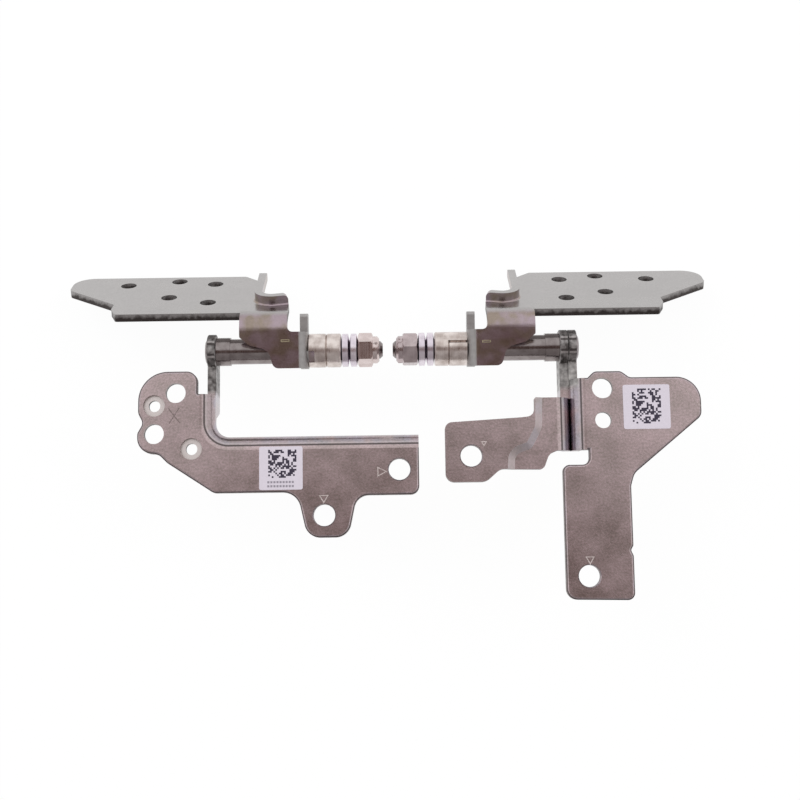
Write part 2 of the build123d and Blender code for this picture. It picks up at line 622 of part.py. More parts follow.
def lid_arm(tab):
    """Right hinge's lid arm: ear on the pin, roof over the shaft, neck bend and lid plate."""
    bend_line = EAR_FACE + ARM_OUTER_BEND
    roof = extrude(
        Pos(0, 0, ROOF_TOP) * rounded([
            (bend_line, ROOF_FOOT, 0),
            (EAR_FACE + ROOF_STEP_AT, ROOF_FOOT, 0.9),
            (EAR_FACE + ROOF_STEP_AT + 0.7, ROOF_STEP - 1.9, 1.5),
            (NECK_OUTER - 1.3, ROOF_STEP - 1.1, 1.0),
            (NECK_OUTER, ROOF_STEP, 0.3),
            (NECK_OUTER, ROOF_END, 0),
            (bend_line, ROOF_END, 0),
        ]),
        amount=-ARM_SHEET,
    )
    neck_start = NECK_INNER - RELIEF_ROUND
    neck_section = Pos((neck_start + NECK_OUTER) / 2, ROOF_TOP - ARM_SHEET / 2) * Rectangle(
        NECK_OUTER - neck_start, ARM_SHEET
    )
    neck = revolve(
        Plane(origin=(0, ROOF_END, 0), x_dir=(1, 0, 0), z_dir=(0, -1, 0)) * neck_section,
        axis=Axis((0, ROOF_END, ROOF_TOP - NECK_OUTER_BEND), (-1, 0, 0)),
        revolution_arc=NECK_ANGLE,
    )
    slot_end = 2 * (RELIEF + NECK_OUTER_BEND)
    slot = extrude(
        Pos(0, 0, -slot_end) * rounded([
            (EAR_BACK, RELIEF, 0),
            (NECK_INNER, RELIEF, RELIEF_ROUND),
            (NECK_INNER, slot_end, 0),
            (EAR_BACK, slot_end, 0),
        ]),
        amount=2 * slot_end,
    )
    ear_top = ROOF_TOP - ARM_OUTER_BEND
    path = Line((bend_line, ROOF_FOOT, ROOF_TOP), (bend_line, RELIEF, ROOF_TOP))
    ear_bend = bent_rim(path, (-1, 0, 0), ARM_SHEET, ARM_BEND, ARM_OUTER_BEND + 0.1)
    ear_side = Circle(RELIEF) - Pos(0, ear_top + RELIEF) * Rectangle(4 * RELIEF, 2 * RELIEF)
    ear_side += rounded([
        (ROOF_FOOT, ear_top, 0),
        (ROOF_FOOT, 0, 0),
        (RELIEF - 0.5, -1.0, 0),
        (EAR_PRONG, -0.6, 0.5),
        (EAR_PRONG, ear_top, 0.5),
    ])
    ear = extrude(Plane.YZ.offset(EAR_FACE) * ear_side, amount=ARM_SHEET)
    arm = (roof + neck - slot) + lid_plate() + ear_bend + ear
    arm -= Pos(EAR_FACE + ARM_SHEET / 2, 0, 0) * Rot(0, 90, 0) * Cylinder(
        JOURNAL_DIAMETER / 2 + RUN_CLEAR, ARM_SHEET + 0.02
    )
    return Rot(ARM_TURN, 0, 0) * arm + drive_tab(tab, 0)


def origin():
    """Midway between the left bar's two screw holes, on their screw-head face."""
    (end_x, end_y), (tab_x, tab_y) = on_bar(LEFT_END_HOLE), on_bar(LEFT_TAB_HOLE)
    return Pos((end_x + tab_x) / 2, (end_y + tab_y) / 2, PLATE_TOP)


def flipped(body):
    """Left-hand copy of a right-hand piece."""
    return mirror(body, about=Plane.YZ)


def pieces():
    made = {
        "left_base_bracket": left_base_bracket(),
        "right_base_bracket": right_base_bracket(),
        "right_side_bracket": right_side_bracket(),
        "left_label": label(on_bar(LEFT_LABEL), LEFT_LABEL_SIZE),
        "right_label": label(on_right(RIGHT_LABEL), RIGHT_LABEL_SIZE),
        "left_shaft": flipped(shaft(1)),
        "right_shaft": shaft(2),
        "left_lid_arm": flipped(lid_arm(LEFT_TAB_SPAN)),
        "right_lid_arm": lid_arm(RIGHT_TAB_SPAN),
        "left_friction_washer": flipped(friction_washer()),
        "right_friction_washer": friction_washer(),
        "left_cam_ring": flipped(cam_ring()),
        "left_follower_ring": flipped(follower_ring()),
        "right_stop_washer": stop_washer(),
        "right_stop_collar": stop_collar(),
        "left_lock_nut": flipped(lock_nut(NUT_TURN["left"])),
        "right_lock_nut": lock_nut(NUT_TURN["right"]),
    }
    for index in range(2 * SPRING_PAIRS):
        made[f"left_disc_spring_{index + 1}"] = flipped(disc_spring(index))
        made[f"right_disc_spring_{index + 1}"] = disc_spring(index)
    return made


os.makedirs("parts", exist_ok=True)
for name, body in pieces().items():
    export_step(origin().inverse() * body, f"parts/{name}.step")
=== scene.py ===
"""Looks of a pair of laptop lid hinges: plated sheet, turned steel, paper labels and stamped marks."""
import json
import math

import bpy
from mathutils import Matrix, Vector


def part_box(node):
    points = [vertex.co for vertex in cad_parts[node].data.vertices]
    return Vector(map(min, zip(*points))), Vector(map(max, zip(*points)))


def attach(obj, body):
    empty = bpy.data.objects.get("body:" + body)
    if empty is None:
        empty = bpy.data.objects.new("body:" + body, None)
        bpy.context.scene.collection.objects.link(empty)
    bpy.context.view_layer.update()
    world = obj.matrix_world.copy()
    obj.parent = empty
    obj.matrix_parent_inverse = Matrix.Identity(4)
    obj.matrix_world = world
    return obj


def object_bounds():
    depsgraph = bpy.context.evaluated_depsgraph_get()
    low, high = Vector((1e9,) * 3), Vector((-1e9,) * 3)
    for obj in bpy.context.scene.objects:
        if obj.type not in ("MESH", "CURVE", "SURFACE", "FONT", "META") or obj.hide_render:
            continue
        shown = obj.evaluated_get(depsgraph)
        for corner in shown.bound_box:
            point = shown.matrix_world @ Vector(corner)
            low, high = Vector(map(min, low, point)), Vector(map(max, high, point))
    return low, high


bl_info = {
    "name": "Laptop hinge pair",
    "version": (1, 0, 0),
    "blender": (4, 5, 0),
    "location": "View3D > Sidebar > Hinges",
    "description": "Finishes, printed labels, stamped marks and studio for a pair of lid hinges",
    "category": "Object",
}

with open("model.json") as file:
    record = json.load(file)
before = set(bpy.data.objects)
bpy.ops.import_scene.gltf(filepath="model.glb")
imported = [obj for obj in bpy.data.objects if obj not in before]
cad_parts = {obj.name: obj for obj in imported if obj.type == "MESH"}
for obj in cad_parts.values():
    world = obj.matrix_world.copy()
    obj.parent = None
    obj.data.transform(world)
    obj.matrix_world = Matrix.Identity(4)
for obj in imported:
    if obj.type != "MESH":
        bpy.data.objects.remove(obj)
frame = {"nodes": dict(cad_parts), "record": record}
CAD_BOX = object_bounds()

MM = 0.001
PIN = Vector((3.775, 20.355, -3.0)) * MM      # middle of the pair on the pin axis
TILT = math.radians(8.0)                      # lean of the camera, and of the arms' roofs
FACING = Vector((0.0, -math.sin(TILT), math.cos(TILT)))
ACROSS = Vector((0.0, math.cos(TILT), math.sin(TILT)))
PLATE_TOP = 3.0                               # screw-head face of the plates over the pin axis, in mm
ROOF_TOP = 3.05                               # outer face of the arms' roofs over the pin axis, in mm
MARK_ROOT = 0.05                              # depth of a stamped mark's block, in mm
MARK_SINK = 0.006                             # and how far its floor lies under the plate's face
DASH_PITCH = 0.42                             # printed dashes under a label's block, in mm
DASH_SHARE = 0.7
DASH_HEIGHT = 0.3
DASH_REACH = 1.9                              # half the length of a row
LID_NORMAL = Vector((0.0, 0.848048, 0.529919))  # outward from the lid plates, as they lie at rest
LID_SEAT = next(mount for mount in frame["record"]["mounts"] if mount["name"] == "left_lid_seat")
LID_LEVEL = LID_NORMAL.dot(Vector(LID_SEAT["pos_m"])) / MM

# Patterns of the plated sheet: size in mm, and how much each one counts in the tone
CLOUD_SIZE, CLOUD_SHARE = 4.5, 0.45
GRAIN_SIZE, GRAIN_SHARE = 0.3, 0.45           # rolled grain, drawn coarser than it is so that it shows
STREAK_STRETCH, STREAK_SHARE = (0.25, 3.0, 3.0), 0.1
TONE_SPREAD = (0.36, 0.64)                    # part of the mixed noise that goes from deep to pale
CLOUD_SPREAD = (0.35, 0.65)                   # and of the clouds alone, for gloss and for turned steel
BLOOM_SIZE = 2.5                              # patches of the painted reflection tint on bent faces
SWELL_SIZE = 9.0                              # waves of the rolled sheet
GRAIN_DEPTH = 0.004
FLAT_FROM, FLAT_FULL = 0.9, 0.99              # upright share of the normal where a face counts as flat
SIDE_LIMIT = 0.3                              # and under which it is an edge of the sheet
TEAR_STRETCH = (1.6, 1.6, 0.6)                # torn half of a sheared edge
TEAR_REACH = 1.2
TEAR_START, TEAR_END = 1.05, 1.6              # over the sheet's lower face
EAR_FADE = 0.8                                # where the ears' tone, painted dark on the base, runs out into the plates
RIGHT_EAR_SHORT = 3.4                         # the right ears' painted ear tone runs this much less far down
EDGE_DULL = 0.22                              # extra roughness of edges, ears, the pressed step and the peg seats

# Base sheet only: rolled rim with a painted dark outline, pressed step with a painted highlight, and paler
# peg seats, by the upright share of their normals
RIM_SLOPE = math.cos(math.atan(0.1 / 0.3))    # rim, 0.1 mm down over 0.3 mm
RIM_MATCH = 0.02
RIM_HALF = -0.05                              # the rim's outer half lies under this level
RIM_PAINTED_SHADE = 0.85
STEP_SLOPE = math.cos(math.atan(0.5))         # side bracket's pressed step, 0.5 mm down over 1 mm
STEP_MATCH = 0.025
STEP_HIGHLIGHT_SHARE = 0.3
SEAT_MATCH = 0.02                             # levels this near to the seats' floor, in mm

# Turned steel and label paper, in mm
TURNED_CLOUD = 1.2
RING_DEPTH = 0.003
FIBRE_SIZE, FIBRE_DEPTH, FIBRE_SHADE = 0.4, 0.004, 0.9
DASH_GREY = 0.6

# Stamped marks, in mm: width and rise of the line round each kind, and the sizes that repeat
TRIANGLE_LINE = (0.2, 0.02)
STROKE_WIDTH, STROKE_LINE = 0.14, (0.06, 0.02)
ROOF_DASH, ROOF_DASH_LINE = (1.25, 0.4), (0.16, 0.03)

FLOOR_SIZE = 4.0                              # in metres
FLOOR_WHITE = 0.96                            # share of its own white, the rest takes the shadow
CAMERA_TARGET = Vector((5.410, 12.708, 0.0)) * MM
SENSOR_WIDTH = 36.0

# Light tent: tone by the angle in degrees round the pin axis from the camera's direction, the front negative
TENT = (
    (-180, "#f0f0f0"), (-100, "#d8d8d8"), (-82, "#bcb8b8"), (-60, "#a8a4a4"), (-25, "#b4b0b0"),
    (-5, "#e4e2e2"), (8, "#ffffff"), (60, "#ffffff"), (100, "#f4f4f4"), (180, "#f0f0f0"),
)
# Its opening for the camera: tone by the angle in degrees from that direction, on all sides
OPENING = (
    (0, "#75554d"), (9, "#6e544c"), (12, "#7a6964"), (15, "#a29a98"), (17, "#e0dddd"), (19, "#ffffff"),
    (180, "#ffffff"),
)


def colour(code):
    """Linear colour from an sRGB hex value."""
    channels = [int(code[at:at + 2], 16) / 255 for at in (1, 3, 5)]
    linear = [c / 12.92 if c <= 0.04045 else ((c + 0.055) / 1.055) ** 2.4 for c in channels]
    return (*linear, 1.0)


STEP_HIGHLIGHT_SEAT_PALE = colour("#e6dedc")                 # pale tone: a painted highlight on the pressed step, and the peg seats' floors
RIGHT_EAR_PAINTED_DEEP = colour("#8a8786")                 # painted neutral grey on the right ears' walls below their heads, in place of the ear tone
RIGHT_EAR_PAINTED_PALE = colour("#c8c5c3")


def node(tree, kind, inputs=None, **settings):
    """Adds a node with its settings, and fills or links its inputs."""
    made = tree.nodes.new(kind)
    for key, value in settings.items():
        setattr(made, key, value)
    for key, value in (inputs or {}).items():
        if isinstance(value, bpy.types.NodeSocket):
            tree.links.new(value, made.inputs[key])
        else:
            made.inputs[key].default_value = value
    return made


def new_material(name):
    """Empty node material, its tree, and its object coordinates in millimetres."""
    material = bpy.data.materials.new(name)
    material.use_nodes = True
    tree = material.node_tree
    tree.nodes.clear()
    place = node(tree, "ShaderNodeTexCoord")
    scaled = node(
        tree, "ShaderNodeVectorMath", {0: place.outputs["Object"], 1: (1 / MM,) * 3}, operation="MULTIPLY"
    )
    return material, tree, scaled.outputs[0]


def close_material(tree, shader):
    """Links the finished shader to the material's output."""
    node(tree, "ShaderNodeOutputMaterial", {"Surface": shader.outputs[0]})


def finish_nodes(material, *names):
    """Gives the CAD nodes of those names one material."""
    for name in names:
        if name not in frame["nodes"]:
            raise RuntimeError(f"no CAD node named {name}")
        mesh = frame["nodes"][name].data
        mesh.materials.clear()
        mesh.materials.append(material)


def plated_sheet(
    name, pale, deep, sheared_and_shade, painted_bend_tint, smooth, rough, wave, across, low, top,
    ear, ear_behind, ear_tone, seat=None,
):
    """Nickel-plated rolled steel: cloudy satin faces with fine grain, dark torn edges with painted shade, a
    painted reflection tint on the bends and painted ear tones; with a seat, a painted dark rim outline and a
    painted highlight on the pressed step.
    """
    material, tree, mm = new_material(name)
    place = node(tree, "ShaderNodeTexCoord")
    cloud = node(
        tree, "ShaderNodeTexNoise", {"Vector": mm, "Scale": 1 / CLOUD_SIZE, "Detail": 4.0, "Roughness": 0.6}
    )
    grain = node(tree, "ShaderNodeTexNoise", {"Vector": mm, "Scale": 1 / GRAIN_SIZE, "Detail": 2.0})
    rolled = node(tree, "ShaderNodeVectorMath", {0: mm, 1: STREAK_STRETCH}, operation="MULTIPLY")
    streak = node(tree, "ShaderNodeTexNoise", {"Vector": rolled.outputs[0], "Scale": 1.0, "Detail": 3.0})
    blend = node(tree, "ShaderNodeMath", {0: cloud.outputs["Fac"], 1: CLOUD_SHARE}, operation="MULTIPLY")
    speck = node(
        tree, "ShaderNodeMath",
        {0: grain.outputs["Fac"], 1: GRAIN_SHARE, 2: blend.outputs[0]}, operation="MULTIPLY_ADD",
    )
    mixed = node(
        tree, "ShaderNodeMath",
        {0: streak.outputs["Fac"], 1: STREAK_SHARE, 2: speck.outputs[0]}, operation="MULTIPLY_ADD",
    )
    tone = node(
        tree, "ShaderNodeMapRange",
        {"Value": mixed.outputs[0], "From Min": TONE_SPREAD[0], "From Max": TONE_SPREAD[1]},
    )
    plating = node(tree, "ShaderNodeMix", {0: tone.outputs[0], 6: deep, 7: pale}, data_type="RGBA")

    normal = node(
        tree, "ShaderNodeVectorMath", {0: place.outputs["Normal"], 1: across}, operation="DOT_PRODUCT"
    )
    level = node(tree, "ShaderNodeVectorMath", {0: mm, 1: across}, operation="DOT_PRODUCT")
    upright = node(tree, "ShaderNodeMath", {0: normal.outputs["Value"]}, operation="ABSOLUTE")
    flat = node(
        tree, "ShaderNodeMapRange",
        {"Value": upright.outputs[0], "From Min": FLAT_FROM, "From Max": FLAT_FULL},
    )
    # Painted reflection tint: faces that are not flat, the bends, are multiplied by a patchy pale tint
    bent = node(tree, "ShaderNodeMath", {0: 1.0, 1: flat.outputs[0]}, operation="SUBTRACT")
    bloom = node(tree, "ShaderNodeTexNoise", {"Vector": mm, "Scale": 1 / BLOOM_SIZE, "Detail": 2.0})
    drift = node(
        tree, "ShaderNodeMapRange", {"Value": bloom.outputs["Fac"], "From Min": 0.4, "From Max": 0.6}
    )
    painted_bend_hue = node(tree, "ShaderNodeMix", {0: drift.outputs[0], 6: painted_bend_tint[0], 7: painted_bend_tint[1]}, data_type="RGBA")
    face = node(
        tree, "ShaderNodeMix", {0: bent.outputs[0], 6: plating.outputs[2], 7: painted_bend_hue.outputs[2]},
        data_type="RGBA", blend_type="MULTIPLY",
    )
    # Torn edges and hole walls: bare steel given a tone far darker than steel, painted shade, darkest over
    # the lower torn half
    side = node(tree, "ShaderNodeMath", {0: upright.outputs[0], 1: SIDE_LIMIT}, operation="LESS_THAN")
    band = node(
        tree, "ShaderNodeMath",
        {0: level.outputs["Value"], 1: (low + top) / 2, 2: (top - low) / 2}, operation="COMPARE",
    )
    edge = node(tree, "ShaderNodeMath", {0: side.outputs[0], 1: band.outputs[0]}, operation="MULTIPLY")
    torn = node(tree, "ShaderNodeVectorMath", {0: mm, 1: TEAR_STRETCH}, operation="MULTIPLY")
    tear = node(tree, "ShaderNodeTexNoise", {"Vector": torn.outputs[0], "Scale": 1.0, "Detail": 3.0})
    ragged = node(
        tree, "ShaderNodeMath",
        {0: tear.outputs["Fac"], 1: TEAR_REACH, 2: level.outputs["Value"]}, operation="MULTIPLY_ADD",
    )
    shear = node(
        tree, "ShaderNodeMapRange",
        {"Value": ragged.outputs[0], "From Min": low + TEAR_START, "From Max": low + TEAR_END},
    )
    torn_tone = node(tree, "ShaderNodeMix", {0: shear.outputs[0], 6: sheared_and_shade, 7: deep}, data_type="RGBA")
    tint = node(
        tree, "ShaderNodeMix",
        {0: edge.outputs[0], 6: face.outputs[2], 7: torn_tone.outputs[2]}, data_type="RGBA",
    )

    # Ear tops: on the base a painted dark reflection mottled with painted highlights; the right ears keep
    # their ear tone only near their heads and are painted neutral grey below
    spot = node(tree, "ShaderNodeSeparateXYZ", {0: mm})
    from_middle = node(tree, "ShaderNodeMath", {0: spot.outputs[0], 1: PIN.x / MM}, operation="SUBTRACT")
    apart = node(tree, "ShaderNodeMath", {0: from_middle.outputs[0]}, operation="ABSOLUTE")
    strip = node(
        tree, "ShaderNodeMath",
        {0: apart.outputs[0], 1: sum(ear) / 2, 2: (ear[1] - ear[0]) / 2}, operation="COMPARE",
    )
    right = node(tree, "ShaderNodeMath", {0: from_middle.outputs[0], 1: 0.0}, operation="GREATER_THAN")
    back = node(
        tree, "ShaderNodeMath",
        {0: right.outputs[0], 1: -RIGHT_EAR_SHORT, 2: spot.outputs[1]}, operation="MULTIPLY_ADD",
    )
    behind, head = (
        node(
            tree, "ShaderNodeMapRange",
            {"Value": reach, "From Min": ear_behind - EAR_FADE, "From Max": ear_behind},
        )
        for reach in (spot.outputs[1], back.outputs[0])
    )
    lug = node(tree, "ShaderNodeMath", {0: strip.outputs[0], 1: behind.outputs[0]}, operation="MULTIPLY")
    ear_mottle = node(
        tree, "ShaderNodeMapRange", {"Value": tear.outputs["Fac"], "From Min": 0.35, "From Max": 0.7}
    )
    ear_painted_tone = node(
        tree, "ShaderNodeMix", {0: ear_mottle.outputs[0], 6: ear_tone[0], 7: ear_tone[1]}, data_type="RGBA"
    )
    right_ear_painted_tone = node(
        tree, "ShaderNodeMix", {0: ear_mottle.outputs[0], 6: RIGHT_EAR_PAINTED_DEEP, 7: RIGHT_EAR_PAINTED_PALE}, data_type="RGBA"
    )
    ear_painted_tone = node(
        tree, "ShaderNodeMix",
        {0: head.outputs[0], 6: right_ear_painted_tone.outputs[2], 7: ear_painted_tone.outputs[2]}, data_type="RGBA",
    )
    tint = node(
        tree, "ShaderNodeMix",
        {0: lug.outputs[0], 6: tint.outputs[2], 7: ear_painted_tone.outputs[2]}, data_type="RGBA",
    )
    coarse = node(tree, "ShaderNodeMath", {0: edge.outputs[0], 1: lug.outputs[0]}, operation="MAXIMUM")
    if seat:
        # Painted shade: the outer half of the rolled rim takes the dark edge tone as a dark outline
        rim = node(
            tree, "ShaderNodeMath", {0: upright.outputs[0], 1: RIM_SLOPE, 2: RIM_MATCH}, operation="COMPARE"
        )
        outer = node(
            tree, "ShaderNodeMath", {0: level.outputs["Value"], 1: RIM_HALF}, operation="LESS_THAN"
        )
        outline = node(
            tree, "ShaderNodeMath", {0: rim.outputs[0], 1: outer.outputs[0]}, operation="MULTIPLY"
        )
        line = node(tree, "ShaderNodeMath", {0: outline.outputs[0], 1: RIM_PAINTED_SHADE}, operation="MULTIPLY")
        tint = node(
            tree, "ShaderNodeMix", {0: line.outputs[0], 6: tint.outputs[2], 7: sheared_and_shade}, data_type="RGBA"
        )
        # Painted highlight: the pressed step's sloped faces are mixed towards a pale tone
        slope = node(
            tree, "ShaderNodeMath",
            {0: upright.outputs[0], 1: STEP_SLOPE, 2: STEP_MATCH}, operation="COMPARE",
        )
        painted_step_highlight = node(tree, "ShaderNodeMath", {0: slope.outputs[0], 1: STEP_HIGHLIGHT_SHARE}, operation="MULTIPLY")
        tint = node(
            tree, "ShaderNodeMix", {0: painted_step_highlight.outputs[0], 6: tint.outputs[2], 7: STEP_HIGHLIGHT_SEAT_PALE}, data_type="RGBA"
        )
        coarse = node(
            tree, "ShaderNodeMath", {0: coarse.outputs[0], 1: slope.outputs[0]}, operation="MAXIMUM"
        )
        deep_in = node(
            tree, "ShaderNodeMath", {0: level.outputs["Value"], 1: seat, 2: SEAT_MATCH}, operation="COMPARE"
        )
        sunk = node(
            tree, "ShaderNodeMath", {0: deep_in.outputs[0], 1: flat.outputs[0]}, operation="MULTIPLY"
        )
        tint = node(
            tree, "ShaderNodeMix", {0: sunk.outputs[0], 6: tint.outputs[2], 7: STEP_HIGHLIGHT_SEAT_PALE}, data_type="RGBA"
        )
        coarse = node(
            tree, "ShaderNodeMath", {0: coarse.outputs[0], 1: sunk.outputs[0]}, operation="MAXIMUM"
        )

    satin = node(
        tree, "ShaderNodeMapRange",
        {
            "Value": cloud.outputs["Fac"], "From Min": CLOUD_SPREAD[0], "From Max": CLOUD_SPREAD[1],
            "To Min": smooth, "To Max": rough,
        },
    )
    gloss = node(
        tree, "ShaderNodeMath",
        {0: coarse.outputs[0], 1: EDGE_DULL, 2: satin.outputs[0]}, operation="MULTIPLY_ADD",
    )
    swell = node(tree, "ShaderNodeTexNoise", {"Vector": mm, "Scale": 1 / SWELL_SIZE, "Detail": 1.0})
    wavy = node(
        tree, "ShaderNodeBump", {"Height": swell.outputs["Fac"], "Strength": 1.0, "Distance": wave * MM}
    )
    fine = node(
        tree, "ShaderNodeBump",
        {
            "Height": grain.outputs["Fac"], "Strength": 1.0, "Distance": GRAIN_DEPTH * MM,
            "Normal": wavy.outputs[0],
        },
    )
    shader = node(
        tree, "ShaderNodeBsdfPrincipled",
        {
            "Base Color": tint.outputs[2],
            "Metallic": 1.0,
            "Roughness": gloss.outputs[0],
            "Normal": fine.outputs[0],
        },
    )
    close_material(tree, shader)
    return material


def turned_steel(name, pale, deep, smooth, rough, pitch):
    """Nickel-plated turned steel: bright, with faint tool rings along the pin axis and some clouding."""
    material, tree, mm = new_material(name)
    cloud = node(tree, "ShaderNodeTexNoise", {"Vector": mm, "Scale": 1 / TURNED_CLOUD, "Detail": 3.0})
    along = node(tree, "ShaderNodeVectorMath", {0: mm, 1: (1 / pitch, 0.02, 0.02)}, operation="MULTIPLY")
    rings = node(tree, "ShaderNodeTexNoise", {"Vector": along.outputs[0], "Scale": 1.0, "Detail": 2.0})
    tone = node(
        tree, "ShaderNodeMapRange",
        {"Value": cloud.outputs["Fac"], "From Min": CLOUD_SPREAD[0], "From Max": CLOUD_SPREAD[1]},
    )
    tint = node(tree, "ShaderNodeMix", {0: tone.outputs[0], 6: deep, 7: pale}, data_type="RGBA")
    gloss = node(
        tree, "ShaderNodeMapRange",
        {"Value": rings.outputs["Fac"], "From Min": 0.3, "From Max": 0.7, "To Min": smooth, "To Max": rough},
    )
    ridges = node(
        tree, "ShaderNodeBump",
        {"Height": rings.outputs["Fac"], "Strength": 1.0, "Distance": RING_DEPTH * MM},
    )
    shader = node(
        tree, "ShaderNodeBsdfPrincipled",
        {
            "Base Color": tint.outputs[2],
            "Metallic": 1.0,
            "Roughness": gloss.outputs[0],
            "Normal": ridges.outputs[0],
        },
    )
    close_material(tree, shader)
    return material


def printed_label(name, paper, ink, centre, code_centre, code_size, cells, rows):
    """Coated label paper with a block of random dark squares, and rows of short grey dashes under it."""
    material, tree, mm = new_material(name)
    corner = [centre[at] + code_centre[at] - code_size[at] / 2 for at in (0, 1)]
    local = node(tree, "ShaderNodeVectorMath", {0: mm, 1: (*corner, 0.0)}, operation="SUBTRACT")
    pitch = (cells[0] / code_size[0], cells[1] / code_size[1], 0.0)
    counted = node(tree, "ShaderNodeVectorMath", {0: local.outputs[0], 1: pitch}, operation="MULTIPLY")
    cell = node(tree, "ShaderNodeVectorMath", {0: counted.outputs[0]}, operation="FLOOR")
    chance = node(tree, "ShaderNodeTexWhiteNoise", {"Vector": cell.outputs[0]}, noise_dimensions="2D")
    dark = node(tree, "ShaderNodeMath", {0: chance.outputs["Value"], 1: 0.5}, operation="LESS_THAN")
    index = node(tree, "ShaderNodeSeparateXYZ", {0: counted.outputs[0]})
    inside = dark.outputs[0]
    for axis, count in zip((0, 1), cells):
        over = node(tree, "ShaderNodeMath", {0: index.outputs[axis], 1: 0.0}, operation="GREATER_THAN")
        under = node(
            tree, "ShaderNodeMath", {0: index.outputs[axis], 1: float(count)}, operation="LESS_THAN"
        )
        both = node(tree, "ShaderNodeMath", {0: over.outputs[0], 1: under.outputs[0]}, operation="MULTIPLY")
        inside = node(
            tree, "ShaderNodeMath", {0: inside, 1: both.outputs[0]}, operation="MULTIPLY"
        ).outputs[0]
    fibre = node(tree, "ShaderNodeTexNoise", {"Vector": mm, "Scale": 1 / FIBRE_SIZE, "Detail": 3.0})
    shade = [FIBRE_SHADE * channel for channel in paper[:3]]
    sheet = node(
        tree, "ShaderNodeMix", {0: fibre.outputs["Fac"], 6: (*shade, 1.0), 7: paper}, data_type="RGBA"
    )
    spot = node(tree, "ShaderNodeSeparateXYZ", {0: mm})
    dashes = node(tree, "ShaderNodeMath", {0: spot.outputs[0], 1: 1 / DASH_PITCH}, operation="MULTIPLY")
    dashed = node(tree, "ShaderNodeMath", {0: dashes.outputs[0]}, operation="FRACT")
    dash = node(tree, "ShaderNodeMath", {0: dashed.outputs[0], 1: DASH_SHARE}, operation="LESS_THAN")
    reach = node(
        tree, "ShaderNodeMath", {0: spot.outputs[0], 1: centre[0], 2: DASH_REACH}, operation="COMPARE"
    )
    for row in rows:
        line = node(
            tree, "ShaderNodeMath",
            {0: spot.outputs[1], 1: centre[1] + row, 2: DASH_HEIGHT / 2}, operation="COMPARE",
        )
        short = node(
            tree, "ShaderNodeMath", {0: line.outputs[0], 1: reach.outputs[0]}, operation="MULTIPLY"
        )
        grey = node(tree, "ShaderNodeMath", {0: short.outputs[0], 1: dash.outputs[0]}, operation="MULTIPLY")
        inside = node(
            tree, "ShaderNodeMath", {0: grey.outputs[0], 1: DASH_GREY, 2: inside}, operation="MULTIPLY_ADD"
        ).outputs[0]
    tint = node(tree, "ShaderNodeMix", {0: inside, 6: sheet.outputs[2], 7: ink}, data_type="RGBA")
    tooth = node(
        tree, "ShaderNodeBump",
        {"Height": fibre.outputs["Fac"], "Strength": 1.0, "Distance": FIBRE_DEPTH * MM},
    )
    shader = node(
        tree, "ShaderNodeBsdfPrincipled",
        {"Base Color": tint.outputs[2], "Roughness": 0.55, "Normal": tooth.outputs[0]},
    )
    close_material(tree, shader)
    return material


def centre_of(name):
    """Middle of a CAD node's box in millimetres."""
    low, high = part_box(name)
    return [(a + b) / 2 / MM for a, b in zip(low, high)]


class HingeFinish(bpy.types.PropertyGroup):
    """Colours of the finishes."""

    sheet_pale: bpy.props.FloatVectorProperty(
        name="Base sheet, pale", description="Lighter tone of the base brackets' plating",
        subtype="COLOR", size=4, default=colour("#cbb6b9"),
    )
    sheet_deep: bpy.props.FloatVectorProperty(
        name="Base sheet, deep", description="Darker tone of the base brackets' plating",
        subtype="COLOR", size=4, default=colour("#a49794"),
    )
    # Dark tone of the torn edges, painted shade over bare steel, also used for the rims' painted dark
    # outline
    sheared_and_shade: bpy.props.FloatVectorProperty(
        name="Sheared edge", description="Tone of the bare torn edges",
        subtype="COLOR", size=4, default=colour("#4a4443"),
    )
    arm_pale: bpy.props.FloatVectorProperty(
        name="Arm sheet, pale", description="Lighter tone of the lid arms' plating",
        subtype="COLOR", size=4, default=colour("#b1aead"),
    )
    arm_deep: bpy.props.FloatVectorProperty(
        name="Arm sheet, deep", description="Darker tone of the lid arms' plating",
        subtype="COLOR", size=4, default=colour("#a5a2a1"),
    )
    paper: bpy.props.FloatVectorProperty(
        name="Label paper", description="Colour of the blank label",
        subtype="COLOR", size=4, default=colour("#cac3cd"),
    )
    ink: bpy.props.FloatVectorProperty(
        name="Label ink", description="Colour of the printed squares",
        subtype="COLOR", size=4, default=colour("#2c2536"),
    )


class HingeStudio(bpy.types.PropertyGroup):
    """Camera and floor."""

    distance: bpy.props.FloatProperty(
        name="Camera distance", description="From the camera to the plates it looks at",
        default=0.19, min=0.05, unit="LENGTH",
    )
    width: bpy.props.FloatProperty(
        name="Width in view", description="Width of the picture at the plates",
        default=0.1111, min=0.02, unit="LENGTH",
    )
    roll: bpy.props.FloatProperty(
        name="Camera roll", description="Turn of the camera about its own axis",
        default=math.radians(0.81), subtype="ANGLE",
    )
    floor_gap: bpy.props.FloatProperty(
        name="Floor gap", description="Room between the lowest edge and the floor",
        default=0.0004, min=0.0, unit="LENGTH",
    )


